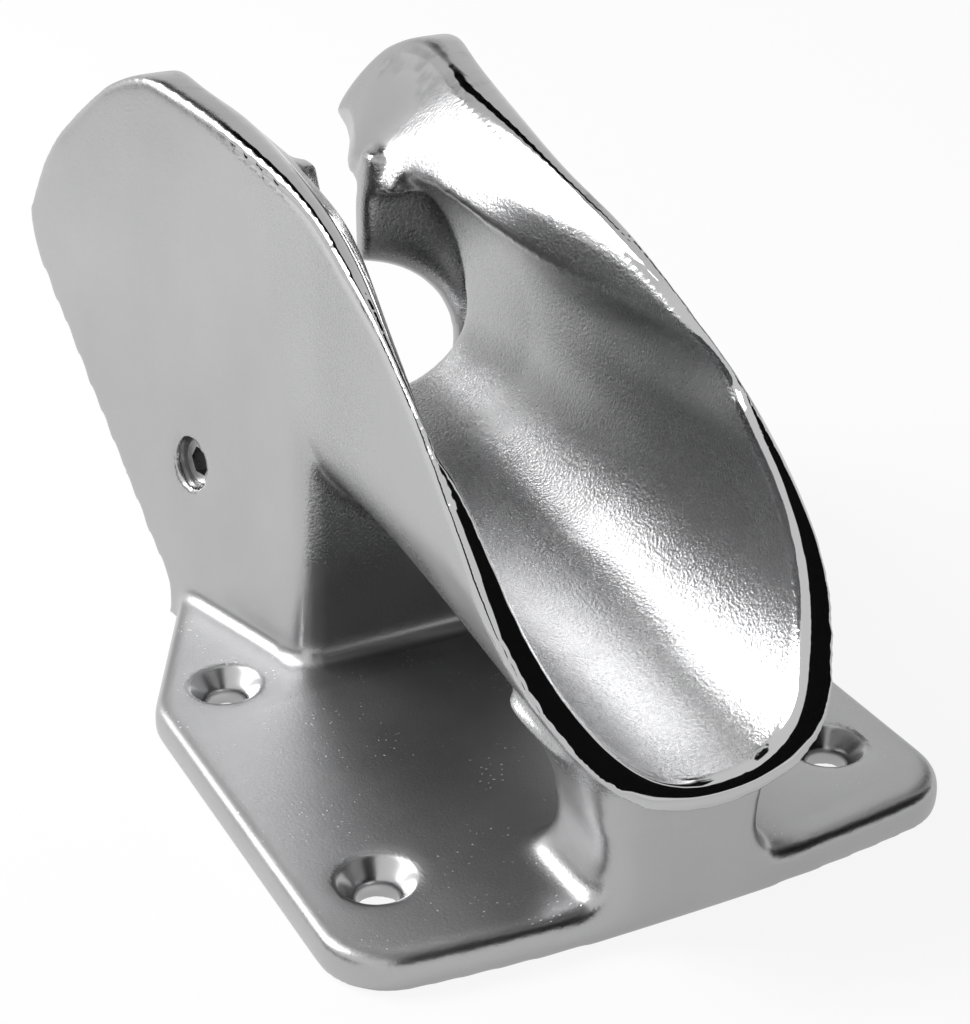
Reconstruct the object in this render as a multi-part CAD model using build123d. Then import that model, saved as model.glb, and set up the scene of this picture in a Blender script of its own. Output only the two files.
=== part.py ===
from build123d import *
from math import radians, sqrt, tan
import os

# Bow chain guide, millimetres.
# Origin: centre of the four-hole pattern, on the underside of the base plate.
# +Z up from the deck, -Y forward to the flared lip, +Y aft, the body is symmetric about X = 0.
# "Height" always means above the plate's top face.

# Base plate
PLATE_THICKNESS = 8.0
PLATE_HALF_WIDTH = 68.5
PLATE_FRONT = 62.6            # straight sides start this far forward
PLATE_BULGE = 5.9             # crown of the bowed front edge
PLATE_TAPER_START = 38.0      # the sides run parallel up to here
PLATE_BACK = 93.0
PLATE_BACK_HALF_WIDTH = 41.0
PLATE_CORNER_RADIUS = 15.0
PLATE_EDGE_RADIUS = 2.5

# Fixing holes, for M8 countersunk screws
HOLE_PITCH_X = 102.5
HOLE_PITCH_Y = 79.3
HOLE_DIAMETER = 8.5
COUNTERSINK_DIAMETER = 16.5
COUNTERSINK_ANGLE = 90.0

# Body sides: half widths at SIDE_DATUM above the plate
SIDE_DATUM = 25.0
LIP_HALF_WIDTH = 35.5
WAIST_HALF_WIDTH = 31.8
WAIST_Y = 10.0
LIP_EASE = 62.0               # length over which the lip narrows to the waist
FLARE_START = 37.0
FLARE_BLEND = 6.0
FLARE_ANGLE = 14.0            # each cheek opens aft by this
CHEEK_LEAN = 6.0              # each cheek leans inboard by this, aft
LEAN_LENGTH = 100.0

# Trough
LIP_WALL = 5.0
TROUGH_WALL = 8.0
GUTTER_STATIONS = (-95, -75, -42, -10, 20, 45, 80, 120)
TROUGH_END = 78.0

# The trough from lip to end: station, half width, centre height, depth below it, rise above it
TROUGH = [
    (-95.0, 32.3, 58.4, 31.4, 90.0),
    (-42.0, 33.0, 70.0, 37.0, 80.0),
    (0.0, 31.5, 68.0, 30.0, 37.0),
    (40.0, 28.5, 64.0, 23.0, 33.0),
    (TROUGH_END, 25.3, 60.0, 17.2, 37.0),
]
GUTTER_OVERSIZE = 0.6         # the round bottom runs out just past the flat sides
CREST_RADIUS = 3.0            # outer edges of the lip, horns and aft edges

# Crest in side view, from the lip to the top of the horns, then round the aft end: station, height
CREST = [
    (-79.5, 27.0), (-76.8, 33.5), (-69.6, 41.8), (-57.3, 56.7), (-42.4, 71.4),
    (-16.3, 88.4), (19.0, 102.0), (65.0, 111.5), (100.0, 116.0),
]
AFT_NOSE = [(100.0, 116.0), (119.4, 111.0), (136.0, 99.5), (146.7, 86.9), (150.0, 76.2), (145.7, 62.5)]
RAKE_FOOT_Y = 88.0
RAKE_FOOT_HEIGHT = 0.0

# Gap between the horns: station, then half width and height of the nose, of the low line, of the crest
GAP = [
    (-46.0, 30.0, 74.0, 30.6, 80.0, 31.2, 85.0),
    (-25.0, 30.6, 79.5, 31.0, 82.5, 31.4, 84.0),
    (-6.0, 27.8, 84.5, 29.2, 90.4, 29.8, 92.4),
    (20.0, 21.7, 88.7, 23.6, 97.3, 25.0, 101.6),
    (45.0, 15.0, 93.0, 18.4, 99.4, 24.0, 106.7),
    (80.0, 10.8, 95.6, 14.2, 100.6, 24.1, 110.6),
    (105.0, 10.5, 93.0, 11.5, 96.5, 21.5, 108.0),
    (124.0, 17.0, 88.0, 17.5, 96.0, 19.0, 106.5),
    (138.0, 19.3, 84.0, 19.5, 90.0, 20.0, 97.0),
    (148.0, 28.0, 74.0, 28.4, 78.0, 29.0, 82.0),
    (160.0, 40.0, 64.0, 41.0, 68.0, 42.0, 74.0),
]
GAP_SLOPE = 0.95
GAP_TOP = 125.0
NOSE_UNDERCUT = (5.0, 10.0)   # the gap draws in below the noses by this, over this height

# Pedestal, bulkhead and the hollow between the cheeks
PEDESTAL_FRONT = 38.0
PEDESTAL_CORNER = 4.0
PEDESTAL_ROOT = 4.0         # fillet along its foot on the plate
CHEEK_WALL = 8.0
CHEEK_EDGE = 5.0
CHEEK_THINNING = 40.0
BULKHEAD_FRONT = 85.0
BULKHEAD_BACK = 92.0
CEILING = 89.0
BULKHEAD_TOP = 97.0
BULKHEAD_TOP_HALF_WIDTH = 13.0
SLOT_KNEE = 84.0
FLOOR_HEIGHT = 42.5
FLOOR_DROP = 0.55
FLOOR_SINK = 2.0              # the bulkhead stands this deep in the floor
ARCH_CENTRE = 47.0
ARCH_HALF_WIDTH = 29.0
ARCH_RISE = 23.5
SLOT_LOW = 4.5
SLOT_HIGH = 6.5
BELL_DEPTH = 6.0
BELL_WIDTH = 4.0
BELL_RISE = 12.0

# Neck under the lip: height, half width, depth front to back
NECK_FRONT = -68.3
NECK_CORNER = 5.0
NECK = [
    (-2.0, 26.0, 30.0), (1.0, 20.0, 27.0), (6.0, 17.5, 25.0),
    (16.0, 18.0, 24.0), (24.0, 20.5, 25.0), (34.0, 28.0, 30.0),
]

# Tapped hole in the left cheek and its set screw
TAP_Y = 81.0
TAP_HEIGHT = 33.0
TAP_DIAMETER = 12.0
TAP_DEPTH = 14.0
SCREW_CLEARANCE = 0.05
SCREW_LENGTH = 10.0
SCREW_RECESS = 3.0
SOCKET_ACROSS_FLATS = 6.0
SOCKET_DEPTH = 5.0
SCREW_CHAMFER = 0.8

# Extent of the cutting and building solids
FRONT_END = -95.0
AFT_END = 160.0
TOP = 130.0
SPAN = 90.0
SIDE_STEPS = 16
HOLLOW_STEPS = 12
NOSE_END_SLOPE = (-0.66, -0.75)
LONG_EDGE = 150.0


def up(height):
    """Z of a height above the plate's top face."""
    return PLATE_THICKNESS + height


def smoothstep(t):
    t = min(max(t, 0.0), 1.0)
    return t * t * (3.0 - 2.0 * t)


def lean(y):
    """Inboard lean of the side at station y, in degrees."""
    return CHEEK_LEAN * smoothstep(y / LEAN_LENGTH)


def half_width(y, height=SIDE_DATUM):
    """Half width of the body at station y and a height above the plate."""
    lip = (LIP_HALF_WIDTH - WAIST_HALF_WIDTH) * smoothstep((WAIST_Y - y) / LIP_EASE)
    run = y - FLARE_START
    flare = tan(radians(FLARE_ANGLE)) * (run + sqrt(run * run + FLARE_BLEND**2)) / 2.0
    return WAIST_HALF_WIDTH + lip + flare - (height - SIDE_DATUM) * tan(radians(lean(y)))


def side_pair(height, inset, y_from, y_to, steps):
    """Plan face between both sides of the body, moved inboard by inset(y)."""
    stations = [y_from + (y_to - y_from) * i / steps for i in range(steps + 1)]
    edge = [(half_width(y, height) - inset(y), y) for y in stations]
    right = Spline(*edge)
    left = Spline(*[(-x, y) for x, y in edge])
    outline = Wire([right, left, Line(right @ 0, left @ 0), Line(right @ 1, left @ 1)])
    return Plane.XY.offset(up(height)) * make_face(outline)


def envelope(inset, y_from, y_to, low, high, steps):
    """Solid between both sides of the body."""
    faces = [side_pair(low, inset, y_from, y_to, steps), side_pair(high, inset, y_from, y_to, steps)]
    return loft(faces, ruled=True)


def side_profile():
    """Everything under the crest and in front of the raked aft edge."""
    crest = Spline(*[(y, up(h)) for y, h in CREST])
    nose = Spline(*[(y, up(h)) for y, h in AFT_NOSE], tangents=[crest % 1, NOSE_END_SLOPE])
    rake = Line(nose @ 1, (RAKE_FOOT_Y, up(RAKE_FOOT_HEIGHT)))
    foot = Line(rake @ 1, (RAKE_FOOT_Y, 0))
    base = Line((RAKE_FOOT_Y, 0), (CREST[0][0], 0))
    front = Line((CREST[0][0], 0), crest @ 0)
    outline = make_face(Wire([crest, nose, rake, foot, base, front]))
    return extrude(Plane.YZ * outline, SPAN, both=True)


def trough_section(y):
    """Half width, centre height, depth below and rise above the centre."""
    for (ya, *a), (yb, *b) in zip(TROUGH, TROUGH[1:]):
        if y <= yb:
            break
    t = (y - ya) / (yb - ya)
    return [p + (q - p) * t for p, q in zip(a, b)]


def bore_face(y):
    a, centre, depth, rise = trough_section(y)
    plane = Plane((0, y, up(centre)), x_dir=(1, 0, 0), z_dir=(0, -1, 0))
    lower = EllipticalCenterArc((0, 0), a, depth, start_angle=180, arc_size=180)
    upper = EllipticalCenterArc((0, 0), a, rise, start_angle=0, arc_size=180)
    return plane * make_face(Wire([lower, upper]))


def gutter_face(y):
    """Round-bottomed outside of the trough, open upwards."""
    a, centre, depth, rise = trough_section(y)
    wall = LIP_WALL + (TROUGH_WALL - LIP_WALL) * smoothstep((y - CREST[0][0]) / LIP_EASE)
    width = half_width(y, centre) + GUTTER_OVERSIZE
    plane = Plane((0, y, up(centre)), x_dir=(1, 0, 0), z_dir=(0, -1, 0))
    lower = EllipticalCenterArc((0, 0), width, depth + wall, start_angle=180, arc_size=180)
    right = Line(lower @ 1, (width, TOP - centre))
    top = Line(right @ 1, (-width, TOP - centre))
    left = Line(top @ 1, lower @ 0)
    return plane * make_face(Wire([lower, right, top, left]))


def gap_face(station):
    """Opening between the horns: steep under their noses, sloped above."""
    y, nose_x, nose_h, low_x, low_h, crest_x, crest_h = station
    top_x = crest_x + GAP_SLOPE * (GAP_TOP - crest_h)
    foot = (nose_x - NOSE_UNDERCUT[0], nose_h - NOSE_UNDERCUT[1])
    half = [(top_x, GAP_TOP), (low_x, low_h), (nose_x, nose_h), foot]
    points = half + [(-x, h) for x, h in reversed(half)]
    plane = Plane((0, y, PLATE_THICKNESS), x_dir=(1, 0, 0), z_dir=(0, -1, 0))
    return plane * make_face(Polyline(*points, close=True))


def cheek_wall(y):
    """Thickness of a cheek at station y: it thins towards the aft edge."""
    return CHEEK_WALL - (CHEEK_WALL - CHEEK_EDGE) * smoothstep((y - BULKHEAD_BACK) / CHEEK_THINNING)


def station_plane(y):
    """Upright cross plane at station y, measured from the plate's top face."""
    return Plane((0, y, PLATE_THICKNESS), x_dir=(1, 0, 0), z_dir=(0, -1, 0))


def floor_height(y):
    return FLOOR_HEIGHT - FLOOR_DROP * (y - TROUGH_END)


def hollow():
    """Space between the cheeks: a falling floor, and the undersides of the horns above."""
    y_from = TROUGH_END - 0.5
    inside = envelope(cheek_wall, y_from, AFT_END, floor_height(AFT_END), TOP, HOLLOW_STEPS)
    outline = Polyline(
        (y_from, up(FLOOR_HEIGHT)), (AFT_END, up(floor_height(AFT_END))),
        (AFT_END, up(CEILING)), (y_from, up(CEILING)), close=True,
    )
    return inside & extrude(Plane.YZ * make_face(outline), SPAN, both=True)


def bulkhead():
    """Cross wall behind the trough, with a bell-mouthed arch and a slot above it."""
    thickness = BULKHEAD_BACK - BULKHEAD_FRONT
    centre = (BULKHEAD_FRONT + BULKHEAD_BACK) / 2
    low = floor_height(BULKHEAD_BACK) - FLOOR_SINK
    high = CEILING + 1.0
    wall = Pos(0, centre, up((low + high) / 2)) * Box(2 * SPAN, thickness, high - low)
    wall &= envelope(lambda y: CHEEK_EDGE / 2, BULKHEAD_FRONT - 1.0, BULKHEAD_BACK + 1.0, low - 1.0, TOP, 2)
    lug = Box(2 * BULKHEAD_TOP_HALF_WIDTH, thickness, BULKHEAD_TOP - CEILING)
    wall += Pos(0, centre, up((CEILING + BULKHEAD_TOP) / 2)) * lug
    return wall - arch() - slot()


def arch():
    """Half-round way through the bulkhead, belled towards the trough."""
    sections = []
    for share in (0.0, 0.15, 0.5, 1.0):
        grow = 1.0 - sqrt(1.0 - (1.0 - share) ** 2)
        plane = station_plane(BULKHEAD_FRONT + share * BELL_DEPTH) * Pos(0, ARCH_CENTRE)
        sections.append(plane * Ellipse(ARCH_HALF_WIDTH + BELL_WIDTH * grow, ARCH_RISE + BELL_RISE * grow))
    rear = station_plane(BULKHEAD_BACK + 1.0) * Pos(0, ARCH_CENTRE) * Ellipse(ARCH_HALF_WIDTH, ARCH_RISE)
    return loft(sections) + extrude(rear, BULKHEAD_BACK + 1.0 - BULKHEAD_FRONT - BELL_DEPTH)


def slot():
    """Way in from above for the chain, widening upwards."""
    outline = Polyline(
        (-SLOT_LOW, ARCH_CENTRE), (SLOT_LOW, ARCH_CENTRE), (SLOT_LOW, SLOT_KNEE),
        (SLOT_HIGH, BULKHEAD_TOP + 1.0), (-SLOT_HIGH, BULKHEAD_TOP + 1.0), (-SLOT_LOW, SLOT_KNEE), close=True,
    )
    rear = station_plane(BULKHEAD_BACK + 1.0) * make_face(outline)
    return extrude(rear, BULKHEAD_BACK - BULKHEAD_FRONT + 2.0)


def neck():
    """Waisted post between the plate and the lip, with a flared foot and head."""
    sections = []
    for height, width, depth in NECK:
        centre = NECK_FRONT + depth / 2.0
        outline = RectangleRounded(2 * width, depth, NECK_CORNER)
        sections.append(Pos(0, centre, up(height)) * outline)
    return loft(sections)


def base_plate():
    right = [(PLATE_HALF_WIDTH, -PLATE_FRONT), (PLATE_HALF_WIDTH, PLATE_TAPER_START)]
    right += [(PLATE_BACK_HALF_WIDTH, PLATE_BACK)]
    left = [(-x, y) for x, y in reversed(right)]
    front = ThreePointArc(left[-1], (0, -PLATE_FRONT - PLATE_BULGE), right[0])
    rest = Polyline(*right, *left)
    outline = make_face(Wire([front, *rest.edges()]))
    outline = fillet(outline.vertices(), PLATE_CORNER_RADIUS)
    plate = extrude(outline, PLATE_THICKNESS)
    return fillet(plate.edges().group_by(Axis.Z)[-1], PLATE_EDGE_RADIUS)


def fixing_holes():
    holes = Part()
    depth = (COUNTERSINK_DIAMETER - HOLE_DIAMETER) / 2.0 / tan(radians(COUNTERSINK_ANGLE / 2.0))
    for spot in GridLocations(HOLE_PITCH_X, HOLE_PITCH_Y, 2, 2):
        shank = Pos(0, 0, PLATE_THICKNESS / 2) * Cylinder(HOLE_DIAMETER / 2, PLATE_THICKNESS)
        cone = Cone(HOLE_DIAMETER / 2, COUNTERSINK_DIAMETER / 2, depth)
        holes += spot * (shank + Pos(0, 0, PLATE_THICKNESS - depth / 2) * cone)
    return holes


def cheek_plane(y, height):
    """Plane on the left cheek's face, its normal pointing out of the body."""
    x = -half_width(y, height)
    step = 1.0
    along = Vector(-half_width(y + step, height) - x, step, 0).normalized()
    rise = Vector(-half_width(y, height + step) - x, 0, step).normalized()
    return Plane((x, y, up(height)), x_dir=along, z_dir=rise.cross(along))


def on_plate(edge):
    box = edge.bounding_box()
    return max(abs(box.min.Z - PLATE_THICKNESS), abs(box.max.Z - PLATE_THICKNESS)) < 0.01


def blank():
    """Plate, pedestal and solid trough under the crest, before anything is cut away."""
    sides = envelope(lambda y: 0.0, FRONT_END, AFT_END, -PLATE_THICKNESS, TOP, SIDE_STEPS)
    limits = sides & side_profile()
    length = AFT_END - PEDESTAL_FRONT
    pedestal = Pos(0, PEDESTAL_FRONT + length / 2, up(TOP) / 2) * Box(2 * SPAN, length, up(TOP)) & limits
    front = pedestal.edges().filter_by(lambda edge: (edge @ 0.5).Y < PEDESTAL_FRONT + 0.1)
    corners = front.filter_by(lambda edge: abs(edge.tangent_at(0.5).Z) > 0.9)
    pedestal = fillet(corners, PEDESTAL_CORNER)
    body = (loft([gutter_face(y) for y in GUTTER_STATIONS]) & limits) + pedestal
    # One edge a side, from the lip to the top of the horn; its rounding runs on down the aft edges
    crest = body.edges().filter_by(lambda edge: edge.length > LONG_EDGE and abs((edge @ 0.5).X) > 1.0)
    body = fillet(crest, CREST_RADIUS) + base_plate()
    root = body.edges().filter_by(on_plate)
    root = root.filter_by(lambda edge: PEDESTAL_FRONT - 0.1 < (edge @ 0.5).Y < PEDESTAL_FRONT + PEDESTAL_CORNER)
    return fillet(root, PEDESTAL_ROOT) + neck()


def guide_casting():
    body = blank()
    body -= loft([bore_face(station[0]) for station in TROUGH])
    body -= loft([gap_face(station) for station in GAP])
    body -= hollow()
    body += bulkhead()
    body -= fixing_holes()
    tap = Cylinder(TAP_DIAMETER / 2, TAP_DEPTH + 2.0, align=(Align.CENTER, Align.CENTER, Align.MAX))
    return body - cheek_plane(TAP_Y, TAP_HEIGHT) * Pos(0, 0, 2.0) * tap


def set_screw():
    radius = TAP_DIAMETER / 2 - SCREW_CLEARANCE
    screw = Cylinder(radius, SCREW_LENGTH, align=(Align.CENTER, Align.CENTER, Align.MAX))
    screw = chamfer(screw.edges().filter_by(GeomType.CIRCLE), SCREW_CHAMFER)
    socket = extrude(RegularPolygon(SOCKET_ACROSS_FLATS / 2, 6, major_radius=False), -SOCKET_DEPTH)
    return cheek_plane(TAP_Y, TAP_HEIGHT) * Pos(0, 0, -SCREW_RECESS) * (screw - socket)


os.makedirs("parts", exist_ok=True)
for name, shape in (("guide_casting", guide_casting()), ("set_screw", set_screw())):
    print(name, shape.is_valid, round(shape.volume), shape.bounding_box())
    export_step(shape, f"parts/{name}.step")
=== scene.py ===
# %% [markdown]
# # A stainless chain guide for the bow of a boat
# A chain guide is one steel casting: a plate for the deck, a trough that carries the anchor chain,
# and two horns that keep the chain from jumping out. The solid model gives each piece its size and
# place. This lesson adds only what the solid model lacks: softened cast edges, the finishes, the
# lamps and the camera.

# %% Load the model
import bmesh
import bpy
import math
import numpy as np
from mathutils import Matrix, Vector


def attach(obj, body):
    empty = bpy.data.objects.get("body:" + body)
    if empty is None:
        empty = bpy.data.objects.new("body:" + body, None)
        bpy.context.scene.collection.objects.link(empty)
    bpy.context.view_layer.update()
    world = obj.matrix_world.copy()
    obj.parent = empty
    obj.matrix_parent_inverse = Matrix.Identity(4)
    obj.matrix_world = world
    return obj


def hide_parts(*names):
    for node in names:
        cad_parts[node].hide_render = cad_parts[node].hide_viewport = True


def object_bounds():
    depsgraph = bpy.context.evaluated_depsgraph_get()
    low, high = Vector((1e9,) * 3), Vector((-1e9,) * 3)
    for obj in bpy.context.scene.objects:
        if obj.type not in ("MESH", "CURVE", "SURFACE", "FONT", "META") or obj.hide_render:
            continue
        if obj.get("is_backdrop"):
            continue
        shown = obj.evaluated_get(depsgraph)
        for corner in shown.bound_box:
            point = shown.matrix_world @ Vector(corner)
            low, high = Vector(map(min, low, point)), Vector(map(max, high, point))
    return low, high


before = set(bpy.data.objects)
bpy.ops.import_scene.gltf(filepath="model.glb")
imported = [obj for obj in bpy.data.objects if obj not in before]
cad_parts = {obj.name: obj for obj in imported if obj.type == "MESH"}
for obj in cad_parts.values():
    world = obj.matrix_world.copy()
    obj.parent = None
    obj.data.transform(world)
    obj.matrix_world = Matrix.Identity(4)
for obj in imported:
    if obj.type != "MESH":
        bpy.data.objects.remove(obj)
cad_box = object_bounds()
casting_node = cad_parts["guide_casting"]
set_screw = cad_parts["set_screw"]
print("CAD box in metres:", [tuple(round(v, 4) for v in corner) for corner in cad_box])

# %% [markdown]
# ## The camera
# The photograph was taken from the front left, a little above, with a long lens. The focal length
# is kept in pixels of the photograph, because the solid model was lined up with the picture in
# pixels too. The camera looks along one direction at a point near the middle of the trough, so
# turning it and moving it stay two separate numbers.

# %% Camera
IMAGE_WIDTH = 970
FOCAL_PIXELS = 2300.0
SENSOR_WIDTH = 36.0
AZIMUTH = math.radians(26.92)
ELEVATION = math.radians(27.01)
DISTANCE = 0.5713
TARGET = Vector((0.03597, 0.08701, 0.008))

forward = Vector((
    math.sin(AZIMUTH) * math.cos(ELEVATION),
    math.cos(AZIMUTH) * math.cos(ELEVATION),
    -math.sin(ELEVATION),
))
camera_data = bpy.data.cameras.new("camera")
camera_data.lens = FOCAL_PIXELS * SENSOR_WIDTH / IMAGE_WIDTH
camera_data.sensor_width = SENSOR_WIDTH
camera_data.sensor_fit = "HORIZONTAL"
camera = bpy.data.objects.new("camera", camera_data)
camera.location = TARGET - forward * DISTANCE
camera.rotation_euler = forward.to_track_quat("-Z", "Y").to_euler()
bpy.context.scene.collection.objects.link(camera)
bpy.context.scene.camera = camera
print("camera at", [round(v, 3) for v in camera.location], "lens", round(camera_data.lens, 1))

# %% [markdown]
# ## Lines that the finishes follow
# A polisher works along the edges of a casting, so the finishes need the same edges: the crest, which
# runs from the lip over the horns to their tips, and the nose, the inner lower edge of each horn.
# They could be searched for in the mesh, but two short lines in side view are easier to read and
# to change. A smooth curve through a few points replaces a long list.

# %% Crest and nose in side view
# Millimetres: distance aft of the middle of the hole pattern, and height above the plate
PLATE_THICKNESS = 8.0
CREST = [
    (-79.5, 24.0), (-79.5, 27.0), (-76.8, 33.5), (-69.6, 41.8), (-57.3, 56.7), (-42.4, 71.4),
    (-16.3, 88.4), (19.0, 102.0), (65.0, 111.5), (100.0, 116.0), (119.4, 111.0), (136.0, 99.5),
    (146.7, 86.9), (150.0, 76.2), (145.7, 62.5),
]
NOSE = [
    (-46.0, 74.0), (-6.0, 84.5), (20.0, 88.7), (45.0, 93.0), (80.0, 95.6), (124.0, 88.0), (150.0, 74.0),
]
CREST_STEPS = 240
CREST_SUMMIT = 99.0


def smooth_line(corners, count):
    """A smooth line through the corners, as an array of count points."""
    line = np.array(corners, float)
    line = np.vstack([2 * line[0] - line[1], line, 2 * line[-1] - line[-2]])
    out = []
    for t in np.linspace(0.0, len(corners) - 1.0001, count):
        i = int(t)
        f = t - i
        a, b, c, d = line[i : i + 4]
        out.append(b + 0.5 * f * (c - a + f * (2 * a - 5 * b + 4 * c - d + f * (3 * (b - c) + d - a))))
    return np.array(out)


def ramp(value, low, high):
    """0 below low, 1 above high, and smooth in between; high may be the smaller."""
    t = np.clip((value - low) / (high - low), 0.0, 1.0)
    return t * t * (3.0 - 2.0 * t)


def nose_at(y):
    """Height of the nose line above the plate, at one station or at many."""
    return np.interp(y, *np.array(NOSE).T)


crest = smooth_line(CREST, CREST_STEPS)
rising = crest[crest[:, 0] < CREST_SUMMIT]
print("crest line from", crest[0].round(1), "to", crest[-1].round(1))

# %% [markdown]
# ## A liner for the trough
# The real rim is a band some five millimetres wide. The solid model's side wall is thinner than
# that, so a liner is laid against the inside of the trough: a closed strip that is thickest at the
# sides and runs out to nothing at the bottom and under the horns. It overlaps the wall, and the
# even grid of the next step melts both into one skin, which is the easy way to join two meshes.

# %% The trough's own sections
# Millimetres, from the lip aft: distance, half width, centre height, depth below, rise above,
# and how much thicker the side wall is made than in the solid model
TROUGH = np.array([
    (-79.3, 32.5, 61.9, 33.0, 87.0, 2.6),
    (-45.0, 33.0, 69.3, 36.7, 80.6, 2.8),
    (-20.0, 32.2, 69.0, 33.7, 57.5, 2.3),
    (0.0, 31.5, 68.0, 30.0, 37.0, 2.7),
    (20.0, 30.0, 66.0, 26.5, 35.0, 1.9),
    (35.0, 28.9, 64.5, 23.9, 33.5, 1.0),
    (48.0, 27.8, 63.2, 21.8, 33.8, 0.0),
])
LINER_STATIONS = 64
LINER_TURNS = 48
BACKING = 0.3
SKIN_AT_BOTTOM = 0.1
BELOW_CREST = 0.3
BELOW_NOSE = 1.5
HORN_START, HORN_FULL = -45.0, -12.0
print("trough sections:", len(TROUGH), "from", TROUGH[0, 0], "to", TROUGH[-1, 0])


# %% One cross section of the liner
def liner_ring(y, side):
    """Points of the liner's inner and outer line at one station, from the bottom up, in metres."""
    half_width, centre, depth, rise, extra = [
        np.interp(y, TROUGH[:, 0], column) for column in TROUGH.T[1:]
    ]
    horn = ramp(y, HORN_START, HORN_FULL)
    top = np.interp(y, rising[:, 0], rising[:, 1]) - BELOW_CREST
    top = top + (nose_at(y) - BELOW_NOSE - top) * horn
    inner, outer = [], []
    for share in np.linspace(0.0, 1.0, LINER_TURNS):
        level = centre - depth + (top - centre + depth) * (1.0 - math.cos(math.pi * share)) / 2.0
        reach = rise if level > centre else depth
        swing = math.sqrt(max(1.0 - ((level - centre) / reach) ** 2, 0.0))
        fade = 1.0 - horn * ramp(level, centre + 2.0, top)
        wide = ramp(swing, 0.0, 0.75)
        z = level + PLATE_THICKNESS
        inner_x = side * (half_width - extra * fade * wide) * swing
        outer_x = side * (half_width + BACKING) * swing
        inner.append(Vector((inner_x, y, z - SKIN_AT_BOTTOM * (1.0 - wide))) / 1000.0)
        outer.append(Vector((outer_x, y, z - BACKING * (1.0 - wide))) / 1000.0)
    return inner, outer


print("liner points in a section:", sum(len(line) for line in liner_ring(0.0, 1)))


# %% The liner as a closed strip
def add_liner(mesh, side):
    """Adds one closed strip to a bmesh."""
    rows = []
    for y in np.linspace(TROUGH[0, 0], TROUGH[-1, 0], LINER_STATIONS):
        inner, outer = liner_ring(y, side)
        rows.append([mesh.verts.new(point) for point in inner + outer[::-1]])
    faces = []
    size = len(rows[0])
    for one, two in zip(rows, rows[1:]):
        for i in range(size):
            j = (i + 1) % size
            faces.append(mesh.faces.new((one[i], one[j], two[j], two[i])))
    for row in (rows[0], rows[-1]):
        for i in range(size // 2 - 1):
            faces.append(mesh.faces.new((row[i], row[i + 1], row[size - 2 - i], row[size - 1 - i])))
    bmesh.ops.recalc_face_normals(mesh, faces=faces)
    print("liner faces:", len(faces), "on side", side)


# %% [markdown]
# ## The skin of the casting
# A casting has no sharp edge: sand and fettling leave every corner a little round, and a buffing
# wheel rounds the rims more. The solid model has crisp edges along the horns, because a kernel
# can't round where three twisting faces meet. A bevel would stop at the same places, so a copy of
# the mesh, with the liner in it, is rebuilt on an even grid, whose points can then be moved.

# %% Copy and remesh
GRID = 0.0007
WELD_DISTANCE = 1e-6


def applied(piece):
    """The piece's mesh with its modifiers applied."""
    bpy.context.view_layer.update()
    evaluated = piece.evaluated_get(bpy.context.evaluated_depsgraph_get())
    mesh = bpy.data.meshes.new_from_object(evaluated)
    piece.modifiers.clear()
    return mesh


skin = bpy.data.objects.new("guide_skin", casting_node.data.copy())
bpy.context.scene.collection.objects.link(skin)
welded = bmesh.new()
welded.from_mesh(skin.data)
bmesh.ops.remove_doubles(welded, verts=welded.verts, dist=WELD_DISTANCE)
for side in (-1, 1):
    add_liner(welded, side)
welded.to_mesh(skin.data)
welded.free()
remesh = skin.modifiers.new("even grid", "REMESH")
remesh.mode = "VOXEL"
remesh.voxel_size = GRID
skin.data = applied(skin)
print("grid faces:", len(skin.data.polygons))

# %% [markdown]
# ## The skin as arrays
# A casting's finish changes from place to place, and so does the radius of its edges. Both are worked
# out for some three hundred thousand points, which is slow one point at a time. Blender's
# foreach_get copies all points into one array, and numpy then works on all of them at once.

# %% Points, normals and edges as arrays
def read(items, name, width, kind=np.float32):
    """One property of all items of a mesh, as rows of width numbers."""
    values = np.empty(len(items) * width, kind)
    items.foreach_get(name, values)
    return values.reshape(-1, width)


points = read(skin.data.vertices, "co", 3).astype(float)
normals = read(skin.data.vertex_normals, "vector", 3).astype(float)
edges = read(skin.data.edges, "vertices", 2, np.int32)
x, y, z = points.T * 1000.0
height = z - PLATE_THICKNESS
print("points:", len(points), "highest at", round(float(height.max()), 1), "mm above the plate")

# %% [markdown]
# ## Where each finish lies
# The real part has a satin, blasted skin; its rims are buffed to a mirror and the tops of the horns
# nearly so, its trough keeps a fine grain, and the screw holes are machined. Instead of painting
# these by hand, each is worked out from the form: how far a point is from the crest line in side
# view, whether it looks up between the horns, or how near it is to a hole.

# %% Distance to the crest line
def distance_to(line, py, pz):
    """Shortest distance from each point to the line's own points."""
    nearest = np.full(len(py), 1e9)
    for cy, cz in line:
        nearest = np.minimum(nearest, (py - cy) ** 2 + (pz - cz) ** 2)
    return np.sqrt(nearest)


to_crest = distance_to(crest, y, height)
print("points within 1 mm of the crest:", int((to_crest < 1.0).sum()))

# %% Machined holes
HOLE_HALF_SPACING = (51.25, 39.65)
COUNTERSINK_RADIUS = 8.25
PLATE_TOP_ZONE = (9.5, 8.6)
TAP_MOUTH = np.array((-42.06, 81.0, 41.0))
TAP_AXIS = np.array((-0.968133, -0.232896, 0.09207))
TAP_EDGE = (7.2, 6.3)
TAP_OUTER_END = (3.0, 1.5)
TAP_INNER_END = (-17.0, -15.0)

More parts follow.
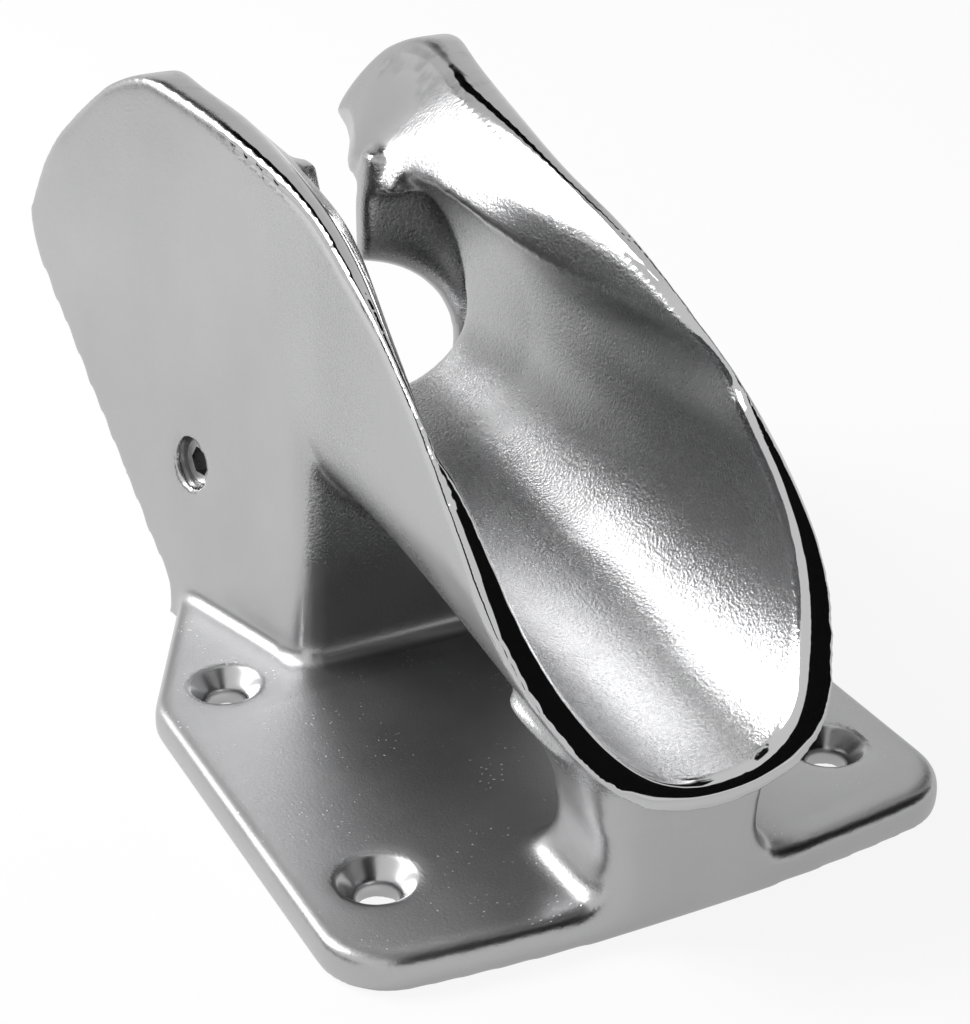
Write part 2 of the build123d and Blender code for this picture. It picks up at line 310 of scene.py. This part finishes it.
holes = [(sx * HOLE_HALF_SPACING[0], sy * HOLE_HALF_SPACING[1]) for sx in (-1, 1) for sy in (-1, 1)]
to_hole = np.min([np.hypot(x - hx, y - hy) for hx, hy in holes], axis=0)
near_plate = ramp(z, *PLATE_TOP_ZONE)
countersunk = ramp(to_hole, COUNTERSINK_RADIUS + 0.5, COUNTERSINK_RADIUS - 0.1) * near_plate
from_tap = points * 1000.0 - TAP_MOUTH
along_tap = from_tap @ TAP_AXIS
off_tap = np.linalg.norm(from_tap - along_tap[:, None] * TAP_AXIS, axis=1)
tapped = ramp(off_tap, *TAP_EDGE) * ramp(along_tap, *TAP_OUTER_END) * ramp(along_tap, *TAP_INNER_END)
machined = np.maximum(countersunk, tapped)
print("machined share:", round(float(machined.mean()), 4))

# %% Polished rims and the tops of the horns
RIM_BAND = (3.6, 2.4)
RIM_ENDS_AFT = (88.0, 62.0)
INNER_EDGE_OFFSET = 24.0
HORN_BUFFING = 0.30

horn_top = ramp(y, -12.0, 22.0) * ramp(height, nose_at(y) - 1.0, nose_at(y) + 1.5)
horn_top *= ramp(normals[:, 2], 0.15, 0.35)
inner_edge = ramp(np.abs(np.abs(x) - INNER_EDGE_OFFSET), 5.0, 3.0) * ramp(y, 118.0, 100.0)
rim = ramp(to_crest, *RIM_BAND) * np.maximum(ramp(y, *RIM_ENDS_AFT), inner_edge)
polished = np.maximum(rim, HORN_BUFFING * horn_top * ramp(y, 135.0, 100.0))
polished *= ramp(height, 22.0, 24.0)
print("polished share:", round(float(polished.mean()), 3))

# %% The trough and the deck side of the plate
DECK_SHADE_FADE = 0.7

trough_floor = ramp(np.abs(x), 33.5, 31.0) * ramp(y, 92.0, 84.0) * ramp(height, 23.0, 27.0)
trough_floor *= 1.0 - polished
# The deck mask fades towards the right, so the painted shade on the deck is deepest on its left side.
deck = near_plate * ramp(normals[:, 2], 0.7, 0.95) * (1.0 - DECK_SHADE_FADE * ramp(x, 5.0, 35.0))
print("trough share:", round(float(trough_floor.mean()), 3), "deck share:", round(float(deck.mean()), 3))

# %% [markdown]
# ## Rounding the cast edges
# Sand gives the foot and the creases of a casting wide fillets, and a drill leaves the edges of
# its holes crisp. A fillet for each would need clean edges, which the grid hasn't got. Instead
# each point moves towards the middle of its neighbours. How often it moves sets the radius, so a
# weight for each point keeps the holes small and makes the horn tips big.

# %% Move points towards their neighbours
CHECK_EVERY = 20


def soften(points, edges, turns, rounds):
    """Moves each point half way to the middle of its neighbours, as often as its own turns say."""
    count = np.bincount(edges.ravel(), minlength=len(points)).astype(float)
    points = points.copy()
    one, two = np.concatenate((edges, edges[:, ::-1])).T
    for step in range(rounds):
        if step % CHECK_EVERY == 0:
            moving = turns > step
            used = moving[one]
            one, two = one[used], two[used]
            chosen = np.where(moving)[0]
            row = np.cumsum(moving) - 1
        share = 0.5 * np.clip(turns[chosen] - step, 0.0, 1.0)
        for axis in range(3):
            total = np.bincount(row[one], points[two, axis], len(chosen))
            points[chosen, axis] += (total / count[chosen] - points[chosen, axis]) * share
    return points


# %% How round each place is
ROUNDS = 260
EVERYWHERE = 24.0 / ROUNDS
AT_HOLES = 5.0 / ROUNDS

from_middle = np.abs(x)
tips = ramp(y, 112.0, 136.0) * ramp(height, 70.0, 84.0)
foot = ramp(np.abs(height - 2.0), 12.0, 4.0) * ramp(y, -38.0, -46.0)
foot *= ramp(np.abs(from_middle - 20.0), 12.0, 5.0)
crease = ramp(np.abs(height - 61.0), 9.0, 4.0) * ramp(np.abs(from_middle - 32.0), 5.0, 2.5)
crease *= ramp(to_crest, 6.0, 12.0)
corner = ramp(np.abs(y - 39.0), 10.0, 5.0) * ramp(np.abs(from_middle - 32.5), 6.0, 3.0)
corner *= ramp(height, 62.0, 50.0)
head = ramp(np.abs(y + 53.0), 20.0, 15.0) * ramp(np.abs(height - 27.0), 13.0, 8.0)
head *= ramp(to_crest, 4.0, 7.0)
strength = np.maximum.reduce([
    np.full(len(points), EVERYWHERE), 0.40 * tips, 0.25 * foot, 0.30 * crease, 0.22 * corner, 0.6 * head,
])
strength = strength * (1.0 - machined) + machined * AT_HOLES
soft = soften(points, edges, strength * ROUNDS, ROUNDS)
skin.data.vertices.foreach_set("co", soft.astype(np.float32).ravel())
print("largest move in mm:", round(float(np.linalg.norm(soft - points, axis=1).max() * 1000), 2))

# %% [markdown]
# ## Fewer faces where nothing happens
# The even grid spends most of its faces on the flat plate and cheeks. Collapsing edges there keeps
# the file small, and the rims, where a mirror finish shows every dent, are protected by a vertex
# group. The masks are stored first, as named attributes that the material reads, so that they
# are carried through the collapse.

# %% Store the masks
masks = {
    "polished": polished, "machined": machined, "trough": trough_floor, "horn_top": horn_top, "deck": deck,
}
for name, values in masks.items():
    attribute = skin.data.attributes.new(name, "FLOAT", "POINT")
    attribute.data.foreach_set("value", values.astype(np.float32))
print("masks stored:", ", ".join(masks))

# %% Thin the mesh
# The weights say how easily a point on the rim, and one off it, gives way
FACES_KEPT = 0.30
ON_THE_RIM = 0.05
THIN_WEIGHTS = {True: 0.02, False: 1.0}

group = skin.vertex_groups.new(name="thin here")
for on_rim, weight in THIN_WEIGHTS.items():
    chosen = np.where((polished > ON_THE_RIM) == on_rim)[0]
    group.add([int(i) for i in chosen], weight, "REPLACE")
thin = skin.modifiers.new("thin", "DECIMATE")
thin.ratio = FACES_KEPT
thin.vertex_group = group.name
thin.vertex_group_factor = 1.0
skin.data = applied(skin)
skin.data.polygons.foreach_set("use_smooth", np.ones(len(skin.data.polygons), bool))
skin.data.update()
print("triangles kept:", sum(len(face.vertices) - 2 for face in skin.data.polygons))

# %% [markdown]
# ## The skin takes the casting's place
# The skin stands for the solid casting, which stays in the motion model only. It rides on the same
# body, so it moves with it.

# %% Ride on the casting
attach(skin, "casting")
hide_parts("guide_casting")
print("skin rides on casting and stands for guide_casting")

# %% [markdown]
# ## Writing shader sums as plain expressions
# A finish is mostly arithmetic on masks and noises. Wrapping a socket in a small class lets that
# arithmetic be written as Python: each operator adds one Math node. Numbers on the left work too,
# so 1 - mask is a valid expression. Any other node comes from one method of the bench, which
# stands for the node tree that is being worked on.

# %% A socket with operators
class Wire:
    """An output socket that can be added, subtracted and multiplied."""

    def __init__(self, bench, socket):
        self.bench = bench
        self.socket = socket

    def __add__(self, other):
        return self.bench.math("ADD", self, other)

    def __radd__(self, other):
        return self.bench.math("ADD", other, self)

    def __sub__(self, other):
        return self.bench.math("SUBTRACT", self, other)

    def __rsub__(self, other):
        return self.bench.math("SUBTRACT", other, self)

    def __mul__(self, other):
        return self.bench.math("MULTIPLY", self, other)

    def __rmul__(self, other):
        return self.bench.math("MULTIPLY", other, self)

    def step(self, low, high):
        """0 at low, 1 at high, smooth between."""
        settings = {"interpolation_type": "SMOOTHSTEP"}
        values = {"Value": self, "From Min": low, "From Max": high}
        return self.bench.add("ShaderNodeMapRange", settings, values)


# %% A bench for one node tree
class Bench:
    """Adds nodes to the tree of one material, or of the world."""

    def __init__(self, tree):
        self.tree = tree

    def fill(self, node, values):
        """Sets sockets to plain values, or links them to wires."""
        for socket, value in values.items():
            if isinstance(value, Wire):
                self.tree.links.new(value.socket, node.inputs[socket])
            else:
                node.inputs[socket].default_value = value

    def add(self, kind, settings=None, values=None, out=0):
        """Adds a node: its settings first, then the values or links of its sockets."""
        node = self.tree.nodes.new(kind)
        for name, value in (settings or {}).items():
            setattr(node, name, value)
        self.fill(node, values or {})
        return Wire(self, node.outputs[out])

    def math(self, operation, first, second):
        return self.add("ShaderNodeMath", {"operation": operation}, {0: first, 1: second})

    def mask(self, name):
        """A named attribute of the mesh."""
        return self.add("ShaderNodeAttribute", {"attribute_name": name}, out="Fac")

    def noise(self, place, scale, detail=4.0, rough=0.5):
        values = {"Vector": place, "Scale": scale, "Detail": detail, "Roughness": rough}
        return self.add("ShaderNodeTexNoise", None, values)

    def ray(self, name):
        """1 for one kind of ray, 0 for the others."""
        return self.add("ShaderNodeLightPath", out=name)

    def grey(self, shade, cool=1.0):
        """A grey colour, a little bluer where cool is over 1."""
        values = {"Red": shade, "Green": shade, "Blue": shade * cool}
        return self.add("ShaderNodeCombineColor", None, values)


def new_material(name):
    """A material, the bench for its nodes and its main shader."""
    material = bpy.data.materials.new(name)
    material.use_nodes = True
    return material, Bench(material.node_tree), material.node_tree.nodes["Principled BSDF"]


# %% [markdown]
# ## The steel
# Blasted stainless steel is a neutral grey metal whose surface scatters light over some twenty
# degrees. Under that satin lies a fine grain, coarser in the trough, where the blast was followed
# by a tumble; the deck side of the plate also has small pits from the sand. Where the buffing
# wheel went, the grain is gone and the metal is a mirror. One material with masks keeps these
# finishes running into each other, which separate materials would not.

# %% Grain, blotches, pits and painted dark reflections of the steel
steel, bench, surface = new_material("satin_cast_steel")
place = bench.add("ShaderNodeTexCoord", out="Object")
is_polished = bench.mask("polished")
is_machined = bench.mask("machined")
in_trough = bench.mask("trough")
on_horn = bench.mask("horn_top")
on_deck = bench.mask("deck")
dull = (1.0 - is_polished) * (1.0 - is_machined)

grain = bench.noise(place, 1500.0, 3.0, 0.6)
cloud = bench.noise(place, 28.0, 5.0, 0.55)
blotch = bench.noise(place, 90.0, 4.0, 0.6)
pits = bench.add("ShaderNodeTexVoronoi", {"feature": "F1"}, {"Vector": place, "Scale": 700.0}, "Distance")
specks = (1.0 - pits.step(0.08, 0.22)) * blotch.step(0.50, 0.62) * on_deck
# Painted dark reflection: darker patches on the tops of the horns, where the steel mirrors something dark.
painted_dark_reflection = blotch.step(0.50, 0.60) * cloud.step(0.46, 0.58) * on_horn
print("nodes for grain and blotches:", len(steel.node_tree.nodes))

# %% Colour, roughness and relief of the steel
STEEL_GREY = 0.46
STEEL_COOLNESS = 1.01
MIRROR_ROUGHNESS = 0.06
RELIEF_STRENGTH = 0.35
RELIEF_DEPTH = 0.0003

shade = STEEL_GREY + (cloud - 0.5) * 0.12 * dull + specks * 0.30 + is_polished * 0.05
# The deck is darkened partly for its rougher as-cast finish and partly as painted shade for the dark
# surroundings it reflects.
# The tops of the horns are darkened as painted shade, which dims the lamp's bright reflection on them.
shade = shade - painted_dark_reflection * 0.10 - on_deck * 0.26 - on_horn * 0.13
satin = 0.25 - in_trough * 0.04 + (cloud - 0.5) * 0.12 + (grain - 0.5) * 0.10
roughness = MIRROR_ROUGHNESS + dull * satin + is_machined * 0.20 + on_deck * 0.12
relief = grain * dull * (0.5 + in_trough * 0.9) + cloud * dull * 1.5 + specks * 0.8
bump = {"Strength": RELIEF_STRENGTH, "Distance": RELIEF_DEPTH, "Height": relief}
bench.fill(surface, {
    "Base Color": bench.grey(shade, STEEL_COOLNESS),
    "Roughness": roughness,
    "Metallic": 1.0,
    "Normal": bench.add("ShaderNodeBump", None, bump),
})
skin.data.materials.clear()
skin.data.materials.append(steel)
print("nodes in the steel:", len(steel.node_tree.nodes))

# %% [markdown]
# ## The set screw
# The screw in the left cheek is a turned stainless part. It is darker than the casting, partly as painted
# shade for the hole it sits in and partly for the oil it keeps. Its shape is right in the solid model, so
# the solid's own mesh stays and only gets a finish: a fine cloudy wear on a fairly smooth metal.

# %% Set screw material
# The darker grey is partly painted shade for the hole the screw sits in, and partly its oil.
SCREW_GREY = 0.30
SCREW_ROUGHNESS = 0.22

screw_steel, bench, surface = new_material("screw_steel")
wear = bench.noise(bench.add("ShaderNodeTexCoord", out="Object"), 600.0, 3.0)
bench.fill(surface, {
    "Base Color": bench.grey(SCREW_GREY + wear * 0.15),
    "Roughness": SCREW_ROUGHNESS + wear * 0.16,
    "Metallic": 1.0,
})
set_screw.data.materials.clear()
set_screw.data.materials.append(screw_steel)
print("nodes in the screw's steel:", len(screw_steel.node_tree.nodes))

# %% [markdown]
# ## A white tent
# Polished metal shows nothing but what stands round it, so the lighting is mostly a matter of
# placing white and black. The world is a white tent. What the camera and the reflections see of
# it is pure white, while the light that it gives is half of that, which keeps the steel's own
# grey. Light Path tells these apart.

# %% White surroundings
WHITE = (1.0, 1.0, 1.0, 1.0)
TENT_LIGHT = 0.5

world = bpy.data.worlds.new("tent")
bpy.context.scene.world = world
world.use_nodes = True
world.node_tree.nodes.clear()
bench = Bench(world.node_tree)
seen_directly = bench.ray("Is Camera Ray") + bench.ray("Is Glossy Ray") + bench.ray("Is Transmission Ray")
tent = bench.add("ShaderNodeMixShader", None, {
    0: seen_directly,
    1: bench.add("ShaderNodeBackground", None, {"Color": WHITE, "Strength": TENT_LIGHT}),
    2: bench.add("ShaderNodeBackground", None, {"Color": WHITE, "Strength": 1.0}),
})
bench.fill(world.node_tree.nodes.new("ShaderNodeOutputWorld"), {"Surface": tent})
print("nodes in the world:", len(world.node_tree.nodes))

# %% [markdown]
# ## The floor
# The guide stands on white paper that runs out of the picture. Paper under even light renders a
# pale grey, so most of what the camera sees of it is glow. The rest is real paper, which keeps
# the soft shadow under the plate. Reflections get a little less glow than the camera.

# %% Floor
FLOOR_SIZE = 8.0
PAPER_COLOUR = (0.82, 0.82, 0.82, 1.0)
GLOW_SEEN = 0.9
GLOW_REFLECTED = 0.7

bpy.ops.mesh.primitive_plane_add(size=FLOOR_SIZE, location=(0, 0, 0))
floor = bpy.context.object
floor.name = "floor"
paper, bench, surface = new_material("white_paper")
bench.fill(surface, {"Base Color": PAPER_COLOUR, "Roughness": 0.9})
mirrored = GLOW_REFLECTED * bench.ray("Is Glossy Ray") + GLOW_REFLECTED * bench.ray("Is Transmission Ray")
lit_paper = bench.add("ShaderNodeMixShader", None, {
    0: GLOW_SEEN * bench.ray("Is Camera Ray") + mirrored,
    1: Wire(bench, surface.outputs[0]),
    2: bench.add("ShaderNodeEmission", None, {"Color": WHITE, "Strength": 1.0}),
})
bench.fill(paper.node_tree.nodes["Material Output"], {"Surface": lit_paper})
floor.data.materials.append(paper)
floor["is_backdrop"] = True
print("floor is", FLOOR_SIZE, "m wide")

# %% [markdown]
# ## Black cards
# In a white tent steel has no outline. A photographer holds black cards beside it: the dark band
# round the mouth, the line along the crest and the dark streak in the trough are their
# reflections. Each card is a piece of a sphere, so two angles each way say what it hides. The
# camera doesn't see the cards themselves, so other views stay clean.

# %% Black cards
CENTRE = Vector((0.0, 0.02, 0.06))
CARD_RADIUS = 1.3
CARD_STEPS = 12
CARD_BLACK = (0.012, 0.012, 0.012, 1.0)

black, bench, surface = new_material("black_card")
bench.fill(surface, {"Base Color": CARD_BLACK, "Roughness": 0.9, "Specular IOR Level": 0.0})


def direction(turn, rise):
    """A unit vector: turn in degrees from aft round to the right, rise in degrees above level."""
    a = math.radians(turn)
    e = math.radians(rise)
    return Vector((math.sin(a) * math.cos(e), math.cos(a) * math.cos(e), math.sin(e)))


def card(name, turns, rises):
    """A curved black card between two turns and two rises."""
    points = []
    for turn in np.linspace(*turns, CARD_STEPS + 1):
        for rise in np.linspace(*rises, CARD_STEPS + 1):
            points.append(CENTRE + direction(turn, rise) * CARD_RADIUS)
    faces = []
    for i in range(CARD_STEPS):
        for j in range(CARD_STEPS):
            first = i * (CARD_STEPS + 1) + j
            faces.append((first, first + 1, first + CARD_STEPS + 2, first + CARD_STEPS + 1))
    mesh = bpy.data.meshes.new(name)
    mesh.from_pydata(points, [], faces)
    mesh.materials.append(black)
    piece = bpy.data.objects.new(name, mesh)
    bpy.context.scene.collection.objects.link(piece)
    piece.visible_camera = False
    piece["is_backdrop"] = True
    print(name, "has", len(faces), "faces")


card("card_front", (88, 200), (7, 76))
card("card_back", (-16, 12), (33, 74))
card("card_side", (56, 78), (18, 50))
card("card_left", (-115, -45), (-1, 10))

# %% [markdown]
# ## The lamp
# One soft lamp stands behind the horns on the left. It puts the bright patch in the trough and
# the shine on the inner faces of the horns, and its size keeps the edge of that patch soft.

# %% Softbox
SOFTBOX_TURN, SOFTBOX_RISE = -48, 42
SOFTBOX_DISTANCE = 1.1
SOFTBOX_SIZE = 0.6
SOFTBOX_WATTS = 14.0

towards_lamp = direction(SOFTBOX_TURN, SOFTBOX_RISE)
light = bpy.data.lights.new("softbox_back", "AREA")
light.shape = "SQUARE"
light.size = SOFTBOX_SIZE
light.energy = SOFTBOX_WATTS
lamp = bpy.data.objects.new("softbox_back", light)
lamp.location = CENTRE + towards_lamp * SOFTBOX_DISTANCE
lamp.rotation_euler = (-towards_lamp).to_track_quat("-Z", "Y").to_euler()
bpy.context.scene.collection.objects.link(lamp)
lamp.visible_camera = False
bpy.context.scene.view_settings.view_transform = "Standard"
print("softbox at", [round(v, 2) for v in lamp.location])

# %% [markdown]
# ## Measure
# Softening may shrink a form. The box of what is seen is printed beside the box of the solid
# model, so that a shrunk or swollen piece shows up as a difference in numbers.

# %% Print the boxes
visual_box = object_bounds()
boxes = {"cad": [list(corner) for corner in cad_box], "visual": [list(corner) for corner in visual_box]}
for name, (low, high) in boxes.items():
    print(name, "box in mm:", [round((b - a) * 1000, 2) for a, b in zip(low, high)])
